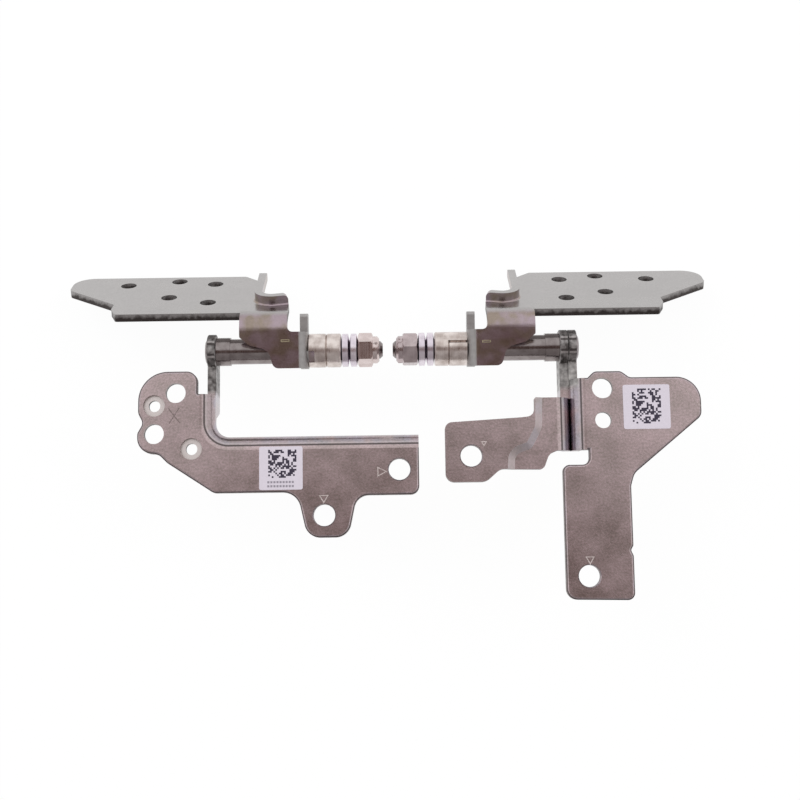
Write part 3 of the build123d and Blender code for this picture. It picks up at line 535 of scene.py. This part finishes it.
class HINGE_OT_base_sheet(bpy.types.Operator):
    """Finishes the three base brackets"""

    bl_idname = "hinge.base_sheet"
    bl_label = "Finish base brackets"

    def execute(self, context):
        finish = context.scene.hinge_finish
        # Warm nickel over rolled steel: satin, slightly wavy, a painted bluish reflection tint on the bends,
        # painted shade on the torn edges and rims, a painted highlight on the pressed step, painted dark
        # reflections and highlights on the ear tops
        material = plated_sheet(
            "nickel_plated_base_sheet", finish.sheet_pale, finish.sheet_deep, finish.sheared_and_shade,
            painted_bend_tint=(colour("#e8f4ff"), colour("#f0f2f4")), smooth=0.2, rough=0.26, wave=0.06,
            across=(0, 0, 1), low=-1.25, top=0.02, ear=(24.1, 26.55), ear_behind=PIN.y / MM - 5.6,
            ear_tone=(colour("#5b5756"), colour("#a9a5a4")), seat=-0.45,
        )
        finish_nodes(material, "left_base_bracket", "right_base_bracket", "right_side_bracket")
        return {"FINISHED"}


class HINGE_OT_arm_sheet(bpy.types.Operator):
    """Finishes the two lid arms"""

    bl_idname = "hinge.arm_sheet"
    bl_label = "Finish lid arms"

    def execute(self, context):
        finish = context.scene.hinge_finish
        # Cool even nickel: flat grey lid plates, a painted pink and olive reflection tint where the roofs
        # and necks are bent, painted shade on the torn edges, the right ears painted neutral grey below
        # their heads
        material = plated_sheet(
            "nickel_plated_arm_sheet", finish.arm_pale, finish.arm_deep, finish.sheared_and_shade,
            painted_bend_tint=(colour("#ffecf8"), colour("#e6d6c8")), smooth=0.22, rough=0.28, wave=0.01,
            across=LID_NORMAL, low=LID_LEVEL - 1.15, top=LID_LEVEL + 0.02,
            ear=(11.1, 12.4), ear_behind=PIN.y / MM - 10.0, ear_tone=(finish.arm_deep, finish.arm_pale),
        )
        finish_nodes(material, "left_lid_arm", "right_lid_arm")
        return {"FINISHED"}


class HINGE_OT_turned_parts(bpy.types.Operator):
    """Finishes the shafts, rings, springs and nuts"""

    bl_idname = "hinge.turned_parts"
    bl_label = "Finish turned parts"

    def execute(self, context):
        names = list(frame["nodes"])
        # Ground shafts mirror the tent in dark and light bands, and tumbled rings are pale and soft. Springs
        # have a cool lilac sheen. Plated nuts show each facet in another tone, and the right one is a darker
        # copy, painted shade.
        kinds = (
            ("polished_shaft_steel", "#968e8d", "#827978", 0.16, 0.24, 0.08, ("shaft",)),
            (
                "plated_ring_steel", "#e6dcd7", "#beb1ab", 0.26, 0.36, 0.1,
                ("cam_ring", "follower", "stop_", "friction"),
            ),
            ("blued_spring_steel", "#ebe2ea", "#d6ccd6", 0.24, 0.34, 0.05, ("spring",)),
            ("plated_nut_steel", "#dfd1cf", "#ccbdba", 0.2, 0.3, 0.12, ("left_lock_nut",)),
            # Painted shade: the right nut is a darker copy of the left nut's finish
            ("nut_steel_painted_shade", "#c6b8b9", "#b0a2a3", 0.2, 0.3, 0.12, ("right_lock_nut",)),
        )
        for name, pale, deep, smooth, rough, pitch, words in kinds:
            material = turned_steel(name, colour(pale), colour(deep), smooth, rough, pitch)
            finish_nodes(material, *(n for n in names if any(word in n for word in words)))
        return {"FINISHED"}


class HINGE_OT_labels(bpy.types.Operator):
    """Prints the two paper labels"""

    bl_idname = "hinge.labels"
    bl_label = "Print labels"

    def execute(self, context):
        finish = context.scene.hinge_finish
        # Coated label paper: matt and faintly lilac, with crisp dark print
        for name, offset, size, cells, rows in (
            ("left_label", (0.2, 0.6), (3.9, 3.9), (16, 16), (-1.94, -2.5)),
            ("right_label", (0.0, 0.1), (4.0, 4.9), (16, 20), ()),
        ):
            material = printed_label(
                f"printed_{name}_paper", finish.paper, finish.ink, centre_of(name), offset, size, cells, rows
            )
            finish_nodes(material, name)
        return {"FINISHED"}


def start_mark(name, triangle, size):
    """Thin block in the plane of Z, shaped to the size of a stamped mark, with its top face selected."""
    bpy.ops.object.select_all(action="DESELECT")
    if triangle:
        bpy.ops.mesh.primitive_circle_add(vertices=3, radius=1.0, fill_type="NGON", location=(0, 0, 0))
    else:
        bpy.ops.mesh.primitive_plane_add(size=1.0, location=(0, 0, 0))
    piece = bpy.context.object
    piece.name = name
    piece.scale = [length * MM / span for length, span in zip(size, piece.dimensions[:2])] + [1.0]
    bpy.ops.object.transform_apply(location=False, rotation=False, scale=True)
    bpy.ops.object.mode_set(mode="EDIT")
    bpy.ops.mesh.select_all(action="SELECT")
    bpy.ops.mesh.extrude_region_move(TRANSFORM_OT_translate={"value": (0, 0, MARK_ROOT * MM)})
    return piece


def raise_line(width, rise):
    """Slopes the selected top face up to a thin line round its edge, and down again inside it."""
    for up in (rise, -rise):
        bpy.ops.mesh.inset(thickness=width / 2 * MM)
        bpy.ops.transform.translate(value=(0, 0, up * MM))


def place_mark(piece, centre, turn, lean, body, material):
    """Turns the finished mark, sets it into its plate, and hands it to its body and finish."""
    bpy.ops.mesh.select_all(action="SELECT")
    bpy.ops.mesh.normals_make_consistent(inside=False)
    bpy.ops.object.mode_set(mode="OBJECT")
    normal = Matrix.Rotation(lean, 3, "X") @ Vector((0, 0, 1))
    piece.rotation_euler = (lean, 0, 0) if lean else (0, 0, turn)
    piece.location = centre - normal * (MARK_ROOT + MARK_SINK) * MM
    bpy.ops.object.transform_apply(location=True, rotation=True, scale=True)
    piece.data.materials.append(material)
    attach(piece, body)


class HINGE_OT_marks(bpy.types.Operator):
    """Stamps the triangles, the scribed cross, the wing's crease and the roof dashes"""

    bl_idname = "hinge.marks"
    bl_label = "Stamp marks"

    def execute(self, context):
        # Stamped lines are paler than the plate, scribed ones are bare and dull, the roof dashes have a
        # bronze tone
        line = turned_steel("pale_stamp_lines", colour("#d9cdcb"), colour("#c8bbb8"), 0.42, 0.5, 0.3)
        scribed = turned_steel("scribed_lines", colour("#7d716f"), colour("#6a5f5d"), 0.35, 0.45, 0.3)
        bronzed = turned_steel("bronzed_roof_dashes", colour("#a89c84"), colour("#8f8470"), 0.35, 0.45, 0.3)
        for name, size, place, turn in (
            ("end_hole_triangle", (1.5, 1.5), (-1.15, -17.59), -90),
            ("tab_hole_triangle", (1.5, 1.25), (-9.04, -21.09), 180),
            ("foot_hole_triangle", (1.4, 1.25), (27.3, -30.0), 180),
            ("side_hole_triangle", (0.95, 0.85), (13.15, -13.83), 180),
        ):
            piece = start_mark(name, True, size)
            raise_line(*TRIANGLE_LINE)
            centre = PIN + Vector((*place, PLATE_TOP)) * MM
            place_mark(piece, centre, math.radians(turn), 0, "base", line)
        for name, length, place, turn, material in (
            ("scribed_cross_a", 2.6, (-29.72, -9.4), 57, scribed),
            ("scribed_cross_b", 2.6, (-29.72, -9.4), 128, scribed),
            ("wing_crease", 4.9, (41.72, -7.23), -50, line),
        ):
            piece = start_mark(name, False, (length, STROKE_WIDTH))
            raise_line(*STROKE_LINE)
            centre = PIN + Vector((*place, PLATE_TOP)) * MM
            place_mark(piece, centre, math.radians(turn), 0, "base", material)
        for name, x, across, body in (
            ("left_roof_dash", -14.29, 1.34, "left_arm"),
            ("right_roof_dash", 13.83, 0.87, "right_arm"),
        ):
            piece = start_mark(name, False, ROOF_DASH)
            raise_line(*ROOF_DASH_LINE)
            centre = PIN + (Vector((x, 0, 0)) + ACROSS * across + FACING * ROOF_TOP) * MM
            place_mark(piece, centre, 0, TILT, body, bronzed)
        return {"FINISHED"}


class HINGE_OT_studio(bpy.types.Operator):
    """Adds the floor, the light tent, the lamps and the camera"""

    bl_idname = "hinge.studio"
    bl_label = "Add studio"

    def execute(self, context):
        scene = context.scene
        studio = scene.hinge_studio
        scene.view_settings.view_transform = "Standard"
        self.add_floor(CAD_BOX[0][2] - studio.floor_gap)
        self.add_tent(scene)
        for name, place, size, power in (
            ("key_lamp", (-0.35, 0.25, 0.45), 0.35, 1.6),
            ("fill_lamp", (0.40, 0.10, 0.35), 0.30, 0.9),
        ):
            lamp = bpy.data.lights.new(name, "AREA")
            lamp.size = size
            lamp.energy = power
            holder = bpy.data.objects.new(name, lamp)
            holder.location = place
            holder.rotation_euler = (Vector(place) - PIN).to_track_quat("Z", "Y").to_euler()
            holder.visible_camera = False
            holder.visible_glossy = False         # the tent alone shows in the metal
            scene.collection.objects.link(holder)
        self.add_camera(scene, studio)
        return {"FINISHED"}

    def add_floor(self, height):
        """White card: white to the eye and in reflections, with part of the shadow, clear from below."""
        bpy.ops.object.select_all(action="DESELECT")
        bpy.ops.mesh.primitive_plane_add(size=FLOOR_SIZE, location=(0, 0, height))
        floor = bpy.context.object
        floor.name = "floor"
        material, tree, _ = new_material("white_card")
        path = node(tree, "ShaderNodeLightPath")
        seen = node(
            tree, "ShaderNodeMath",
            {0: path.outputs["Is Camera Ray"], 1: path.outputs["Is Glossy Ray"]}, operation="MAXIMUM",
        )
        seen = node(
            tree, "ShaderNodeMath",
            {0: seen.outputs[0], 1: path.outputs["Is Transmission Ray"]}, operation="MAXIMUM",
        )
        share = node(tree, "ShaderNodeMath", {0: seen.outputs[0], 1: FLOOR_WHITE}, operation="MULTIPLY")
        card = node(tree, "ShaderNodeBsdfDiffuse", {"Color": colour("#f4f4f4")})
        white = node(tree, "ShaderNodeEmission", {"Color": (1, 1, 1, 1), "Strength": 1.0})
        mix = node(
            tree, "ShaderNodeMixShader", {0: share.outputs[0], 1: card.outputs[0], 2: white.outputs[0]}
        )
        facing = node(tree, "ShaderNodeNewGeometry")
        clear = node(tree, "ShaderNodeBsdfTransparent")
        one_sided = node(
            tree, "ShaderNodeMixShader",
            {0: facing.outputs["Backfacing"], 1: mix.outputs[0], 2: clear.outputs[0]},
        )
        close_material(tree, one_sided)
        floor.data.materials.append(material)

    def add_tent(self, scene):
        """Light tent: white behind the part, dim in front, with a dark opening where the camera looks in."""
        world = bpy.data.worlds.new("light_tent")
        scene.world = world
        world.use_nodes = True
        tree = world.node_tree
        tree.nodes.clear()
        place = node(tree, "ShaderNodeTexCoord")
        back, up = (
            node(
                tree, "ShaderNodeVectorMath",
                {0: place.outputs["Generated"], 1: axis}, operation="DOT_PRODUCT",
            )
            for axis in (ACROSS, FACING)
        )
        round_pin = node(
            tree, "ShaderNodeMath", {0: back.outputs["Value"], 1: up.outputs["Value"]}, operation="ARCTAN2"
        )
        from_camera = node(tree, "ShaderNodeMath", {0: up.outputs["Value"]}, operation="ARCCOSINE")
        tones = []
        for angle, stops in ((round_pin, TENT), (from_camera, OPENING)):
            low, high = (math.radians(stops[at][0]) for at in (0, -1))
            share = node(
                tree, "ShaderNodeMapRange", {"Value": angle.outputs[0], "From Min": low, "From Max": high}
            )
            shades = node(tree, "ShaderNodeValToRGB", {0: share.outputs[0]})
            ramp = shades.color_ramp
            while len(ramp.elements) < len(stops):
                ramp.elements.new(1.0)
            for element, (degrees, shade) in zip(ramp.elements, stops):
                element.position = (math.radians(degrees) - low) / (high - low)
                element.color = colour(shade)
            tones.append(shades.outputs[0])
        tone = node(
            tree, "ShaderNodeMix",
            {0: 1.0, 6: tones[0], 7: tones[1]}, data_type="RGBA", blend_type="MULTIPLY",
        )
        light = node(tree, "ShaderNodeBackground", {"Color": tone.outputs[2], "Strength": 1.0})
        white = node(tree, "ShaderNodeBackground", {"Color": (1, 1, 1, 1), "Strength": 1.0})
        path = node(tree, "ShaderNodeLightPath")
        sky = node(
            tree, "ShaderNodeMixShader",
            {0: path.outputs["Is Camera Ray"], 1: light.outputs[0], 2: white.outputs[0]},
        )
        node(tree, "ShaderNodeOutputWorld", {"Surface": sky.outputs[0]})

    def add_camera(self, scene, studio):
        """Camera over the plates, leaning towards the pins, framed on the square picture."""
        side = Vector((1.0, 0.0, 0.0))
        right = side * math.cos(studio.roll) - ACROSS * math.sin(studio.roll)
        up = side * math.sin(studio.roll) + ACROSS * math.cos(studio.roll)
        lens = bpy.data.cameras.new("camera")
        lens.sensor_width = SENSOR_WIDTH
        lens.lens = SENSOR_WIDTH * studio.distance / studio.width
        camera = bpy.data.objects.new("camera", lens)
        turn = Matrix((right, up, FACING)).transposed().to_4x4()
        camera.matrix_world = Matrix.Translation(CAMERA_TARGET + FACING * studio.distance) @ turn
        scene.collection.objects.link(camera)
        scene.camera = camera


class HINGE_PT_panel(bpy.types.Panel):
    """Sidebar panel that lists the sizes, colours and steps"""

    bl_idname = "HINGE_PT_panel"
    bl_label = "Laptop hinge pair"
    bl_space_type = "VIEW_3D"
    bl_region_type = "UI"
    bl_category = "Hinges"

    def draw(self, context):
        for group in (context.scene.hinge_finish, context.scene.hinge_studio):
            for key in group.__annotations__:
                self.layout.prop(group, key)
        for operator in STEPS:
            self.layout.operator(operator.bl_idname)


STEPS = (
    HINGE_OT_base_sheet,
    HINGE_OT_arm_sheet,
    HINGE_OT_turned_parts,
    HINGE_OT_labels,
    HINGE_OT_marks,
    HINGE_OT_studio,
)
CLASSES = (HingeFinish, HingeStudio, *STEPS, HINGE_PT_panel)


def register():
    for item in CLASSES:
        bpy.utils.register_class(item)
    bpy.types.Scene.hinge_finish = bpy.props.PointerProperty(type=HingeFinish)
    bpy.types.Scene.hinge_studio = bpy.props.PointerProperty(type=HingeStudio)


def unregister():
    del bpy.types.Scene.hinge_studio
    del bpy.types.Scene.hinge_finish
    for item in reversed(CLASSES):
        bpy.utils.unregister_class(item)


def main():
    register()
    for operator in STEPS:
        group, step = operator.bl_idname.split(".")
        getattr(getattr(bpy.ops, group), step)()


if __name__ == "__main__":
    main()
